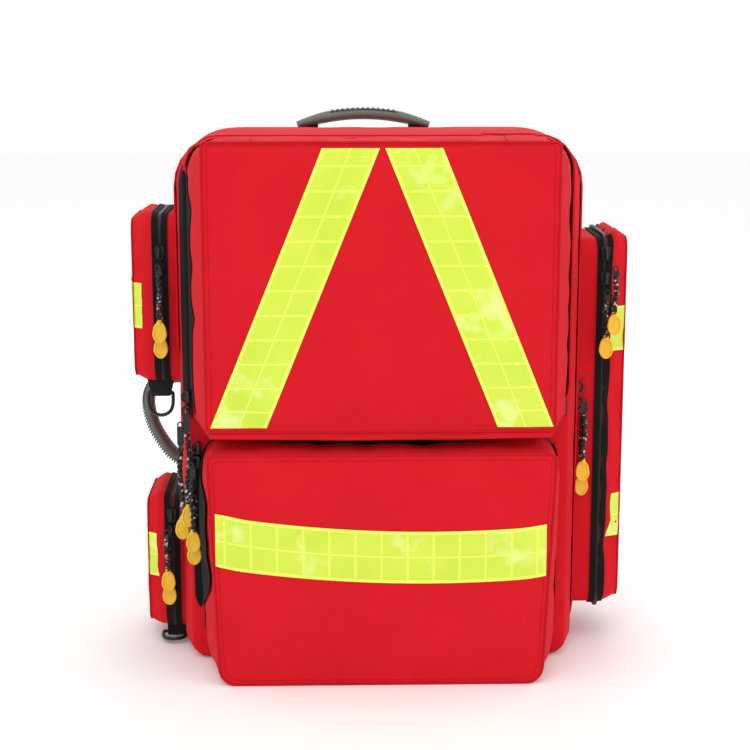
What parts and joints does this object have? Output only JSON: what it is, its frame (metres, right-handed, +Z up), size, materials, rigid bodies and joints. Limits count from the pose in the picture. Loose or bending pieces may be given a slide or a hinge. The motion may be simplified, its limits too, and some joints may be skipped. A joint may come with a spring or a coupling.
{
  "type": "trauma backpack",
  "caption": "Tall boxy padded rescue backpack with a hinged lid, front and side zip pockets, reflective tapes, carrying handles, shoulder straps and a hip belt.",
  "frame": {"origin": "centre of the bounding box's footprint, on the floor the pack stands on", "axes": "+Z up, the pocket side faces -Y, the harness faces +Y, +X to the right seen from the front"},
  "size_m": [0.478, 0.2696, 0.526],
  "materials": {
    "red_cloth": "matt woven nylon",
    "zip_tape": "black coil zip",
    "reflective_tape": "glossy prismatic film",
    "webbing": "black woven webbing",
    "grip_rubber": "matt grey rubber",
    "padding": "black spacer mesh",
    "ring_metal": "black enamel",
    "buckle_plastic": "moulded black",
    "stiffener": "plain sheet",
    "stay_metal": "mill finish",
    "lining": "grey nylon",
    "pouch_cloth": "woven nylon",
    "slider_metal": "black enamel",
    "pull_amber": "amber moulding on a black flecked cord"
  },
  "bodies": {
    "pack": {"rear_shell": "red_cloth", "back_pads": "padding", "frame_sheet": "stiffener", "frame_stays": "stay_metal", "main_zipper": "zip_tape", "side_pocket_bases": "red_cloth", "side_zippers": "zip_tape", "webbing_anchors": "webbing", "organiser_pouches": "pouch_cloth"},
    "lid": {"lid_shell": "red_cloth", "front_zippers": "zip_tape", "organiser_panel": "lining"},
    "upper_flap": {"upper_flap": "red_cloth", "upper_tapes": "reflective_tape"},
    "lower_flap": {"lower_flap": "red_cloth", "lower_tape": "reflective_tape"},
    "left_upper_flap": {"left_upper_flap": "red_cloth", "left_upper_tape": "reflective_tape"},
    "left_lower_flap": {"left_lower_flap": "red_cloth", "left_lower_tape": "reflective_tape"},
    "right_flap": {"right_flap": "red_cloth", "right_tape": "reflective_tape"},
    "top_handle": {"top_handle": "grip_rubber"},
    "side_handle": {"side_handle": "grip_rubber"},
    "upper_d_ring": {"upper_d_ring": "ring_metal"},
    "lower_d_ring": {"lower_d_ring": "ring_metal"},
    "left_shoulder_strap": {"left_shoulder_strap": "padding"},
    "left_sternum_strap": {"left_sternum_strap": "webbing"},
    "left_hip_wing": {"left_hip_wing": "padding"},
    "right_shoulder_strap": {"right_shoulder_strap": "padding"},
    "right_sternum_strap": {"right_sternum_strap": "webbing"},
    "right_hip_wing": {"right_hip_wing": "padding"},
    "hip_buckle_plug": {"hip_buckle_plug": "buckle_plastic"},
    "hip_buckle_socket": {"hip_buckle_socket": "buckle_plastic"},
    "upper_slider_a": {"upper_slider_a": "slider_metal"},
    "upper_pull_a": {"upper_pull_a": "pull_amber"},
    "upper_slider_b": {"upper_slider_b": "slider_metal"},
    "upper_pull_b": {"upper_pull_b": "pull_amber"},
    "lower_slider_a": {"lower_slider_a": "slider_metal"},
    "lower_pull_a": {"lower_pull_a": "pull_amber"},
    "lower_slider_b": {"lower_slider_b": "slider_metal"},
    "lower_pull_b": {"lower_pull_b": "pull_amber"},
    "main_slider_a": {"main_slider_a": "slider_metal"},
    "main_pull_a": {"main_pull_a": "pull_amber"},
    "main_slider_b": {"main_slider_b": "slider_metal"},
    "main_pull_b": {"main_pull_b": "pull_amber"},
    "left_upper_slider_a": {"left_upper_slider_a": "slider_metal"},
    "left_upper_pull_a": {"left_upper_pull_a": "pull_amber"},
    "left_upper_slider_b": {"left_upper_slider_b": "slider_metal"},
    "left_upper_pull_b": {"left_upper_pull_b": "pull_amber"},
    "left_lower_slider_a": {"left_lower_slider_a": "slider_metal"},
    "left_lower_pull_a": {"left_lower_pull_a": "pull_amber"},
    "left_lower_slider_b": {"left_lower_slider_b": "slider_metal"},
    "left_lower_pull_b": {"left_lower_pull_b": "pull_amber"},
    "right_slider_a": {"right_slider_a": "slider_metal"},
    "right_pull_a": {"right_pull_a": "pull_amber"},
    "right_slider_b": {"right_slider_b": "slider_metal"},
    "right_pull_b": {"right_pull_b": "pull_amber"}
  },
  "joints": [
    {"name": "lid_hinge", "type": "hinge", "parent": "pack", "child": "lid", "pos_m": [0, -0.027, 0], "axis": [1, 0, 0], "range_deg": [0, 100]},
    {"name": "upper_flap_hinge", "type": "hinge", "parent": "lid", "child": "upper_flap", "pos_m": [0, -0.129, 0.2422], "axis": [1, 0, 0], "range_deg": [0, 90]},
    {"name": "lower_flap_hinge", "type": "hinge", "parent": "lid", "child": "lower_flap", "pos_m": [0, -0.134, 0.033], "axis": [1, 0, 0], "range_deg": [0, 90]},
    {"name": "left_upper_flap_hinge", "type": "hinge", "parent": "pack", "child": "left_upper_flap", "pos_m": [-0.2108, 0.0883, 0.2], "axis": [0, 0, -1], "range_deg": [0, 100]},
    {"name": "left_lower_flap_hinge", "type": "hinge", "parent": "pack", "child": "left_lower_flap", "pos_m": [-0.2053, 0.0883, 0.2], "axis": [0, 0, -1], "range_deg": [0, 100]},
    {"name": "right_flap_hinge", "type": "hinge", "parent": "pack", "child": "right_flap", "pos_m": [0.2203, 0.0883, 0.2], "axis": [0, 0, 1], "range_deg": [0, 100]},
    {"name": "top_handle_swing", "type": "hinge", "parent": "pack", "child": "top_handle", "pos_m": [0, 0.0995, 0.486], "axis": [-1, 0, 0], "range_deg": [0, 90]},
    {"name": "side_handle_swing", "type": "hinge", "parent": "pack", "child": "side_handle", "pos_m": [-0.205, 0.06, 0.211], "axis": [0, 0, 1], "range_deg": [-15, 15]},
    {"name": "upper_d_ring_swing", "type": "hinge", "parent": "pack", "child": "upper_d_ring", "pos_m": [-0.2135, 0, 0.253], "axis": [1, 0, 0], "range_deg": [-80, 80]},
    {"name": "lower_d_ring_swing", "type": "hinge", "parent": "pack", "child": "lower_d_ring", "pos_m": [-0.2045, 0.002, 0.0052], "axis": [1, 0, 0], "range_deg": [0, 90]},
    {"name": "left_shoulder_strap_swing", "type": "hinge", "parent": "pack", "child": "left_shoulder_strap", "pos_m": [-0.072, 0.109, 0.463], "axis": [1, 0, 0], "range_deg": [0, 70]},
    {"name": "left_sternum_strap_slide", "type": "slide", "parent": "left_shoulder_strap", "child": "left_sternum_strap", "axis": [0, 0, 1], "range_m": [-0.05, 0.05]},
    {"name": "left_hip_wing_swing", "type": "hinge", "parent": "pack", "child": "left_hip_wing", "pos_m": [-0.0725, 0.11, 0.059], "axis": [0, 0, -1], "range_deg": [0, 85]},
    {"name": "right_shoulder_strap_swing", "type": "hinge", "parent": "pack", "child": "right_shoulder_strap", "pos_m": [0.072, 0.109, 0.463], "axis": [1, 0, 0], "range_deg": [0, 70]},
    {"name": "right_sternum_strap_slide", "type": "slide", "parent": "right_shoulder_strap", "child": "right_sternum_strap", "axis": [0, 0, 1], "range_m": [-0.05, 0.05]},
    {"name": "right_hip_wing_swing", "type": "hinge", "parent": "pack", "child": "right_hip_wing", "pos_m": [0.0725, 0.11, 0.059], "axis": [0, 0, 1], "range_deg": [0, 85]},
    {"name": "hip_buckle_plug_slide", "type": "slide", "parent": "left_hip_wing", "child": "hip_buckle_plug", "axis": [-1, 0, 0], "range_m": [0, 0.03]},
    {"name": "hip_buckle_socket_slide", "type": "slide", "parent": "right_hip_wing", "child": "hip_buckle_socket", "axis": [1, 0, 0], "range_m": [0, 0.03]},
    {"name": "upper_slider_a_slide", "type": "slide", "parent": "lid", "child": "upper_slider_a", "axis": [0, 0, 1], "range_m": [0, 0.19]},
    {"name": "upper_pull_a_swing", "type": "hinge", "parent": "upper_slider_a", "child": "upper_pull_a", "pos_m": [-0.182, -0.077, 0.253], "axis": [0, 1, 0], "range_deg": [0, 90]},
    {"name": "upper_slider_b_slide", "type": "slide", "parent": "lid", "child": "upper_slider_b", "axis": [0, 0, -1], "range_m": [0, 0.002]},
    {"name": "upper_pull_b_swing", "type": "hinge", "parent": "upper_slider_b", "child": "upper_pull_b", "pos_m": [-0.1885, -0.07, 0.239], "axis": [0, 1, 0], "range_deg": [0, 90]},
    {"name": "lower_slider_a_slide", "type": "slide", "parent": "lid", "child": "lower_slider_a", "axis": [0, 0, 1], "range_m": [0, 0.003]},
    {"name": "lower_pull_a_swing", "type": "hinge", "parent": "lower_slider_a", "child": "lower_pull_a", "pos_m": [-0.1765, -0.091, 0.204], "axis": [0, 1, 0], "range_deg": [0, 90]},
    {"name": "lower_slider_b_slide", "type": "slide", "parent": "lid", "child": "lower_slider_b", "axis": [0, 0, -1], "range_m": [0, 0.15]},
    {"name": "lower_pull_b_swing", "type": "hinge", "parent": "lower_slider_b", "child": "lower_pull_b", "pos_m": [-0.1765, -0.084, 0.19], "axis": [0, 1, 0], "range_deg": [0, 90]},
    {"name": "main_slider_a_slide", "type": "slide", "parent": "pack", "child": "main_slider_a", "axis": [0, 0, 1], "range_m": [0, 0.19]},
    {"name": "main_pull_a_swing", "type": "hinge", "parent": "main_slider_a", "child": "main_pull_a", "pos_m": [0.1995, -0.033, 0.252], "axis": [0, -1, 0], "range_deg": [0, 90]},
    {"name": "main_slider_b_slide", "type": "slide", "parent": "pack", "child": "main_slider_b", "axis": [0, 0, -1], "range_m": [0, 0.2]},
    {"name": "main_pull_b_swing", "type": "hinge", "parent": "main_slider_b", "child": "main_pull_b", "pos_m": [0.1995, -0.026, 0.236], "axis": [0, -1, 0], "range_deg": [0, 90]},
    {"name": "left_upper_slider_a_slide", "type": "slide", "parent": "pack", "child": "left_upper_slider_a", "axis": [0, 0, 1], "range_m": [0, 0.012]},
    {"name": "left_upper_pull_a_swing", "type": "hinge", "parent": "left_upper_slider_a", "child": "left_upper_pull_a", "pos_m": [-0.209, -0.0385, 0.384], "axis": [-1, 0, 0], "range_deg": [0, 90]},
    {"name": "left_upper_slider_b_slide", "type": "slide", "parent": "pack", "child": "left_upper_slider_b", "axis": [0, 0, -1], "range_m": [0, 0.08]},
    {"name": "left_upper_pull_b_swing", "type": "hinge", "parent": "left_upper_slider_b", "child": "left_upper_pull_b", "pos_m": [-0.209, -0.0315, 0.368], "axis": [0, 1, 0], "range_deg": [0, 90]},
    {"name": "left_lower_slider_a_slide", "type": "slide", "parent": "pack", "child": "left_lower_slider_a", "axis": [0, 0, 1], "range_m": [0, 0.002]},
    {"name": "left_lower_pull_a_swing", "type": "hinge", "parent": "left_lower_slider_a", "child": "left_lower_pull_a", "pos_m": [-0.2065, -0.0385, 0.124], "axis": [-1, 0, 0], "range_deg": [0, 90]},
    {"name": "left_lower_slider_b_slide", "type": "slide", "parent": "pack", "child": "left_lower_slider_b", "axis": [0, 0, -1], "range_m": [0, 0.07]},
    {"name": "left_lower_pull_b_swing", "type": "hinge", "parent": "left_lower_slider_b", "child": "left_lower_pull_b", "pos_m": [-0.2065, -0.0315, 0.108], "axis": [0, 1, 0], "range_deg": [0, 90]},
    {"name": "right_slider_a_slide", "type": "slide", "parent": "pack", "child": "right_slider_a", "axis": [0, 0, 1], "range_m": [0, 0.002]},
    {"name": "right_pull_a_swing", "type": "hinge", "parent": "right_slider_a", "child": "right_pull_a", "pos_m": [0.226, -0.0385, 0.382], "axis": [-1, 0, 0], "range_deg": [0, 90]},
    {"name": "right_slider_b_slide", "type": "slide", "parent": "pack", "child": "right_slider_b", "axis": [0, 0, -1], "range_m": [0, 0.25]},
    {"name": "right_pull_b_swing", "type": "hinge", "parent": "right_slider_b", "child": "right_pull_b", "pos_m": [0.2195, -0.0315, 0.358], "axis": [0, -1, 0], "range_deg": [0, 90]}
  ]
}
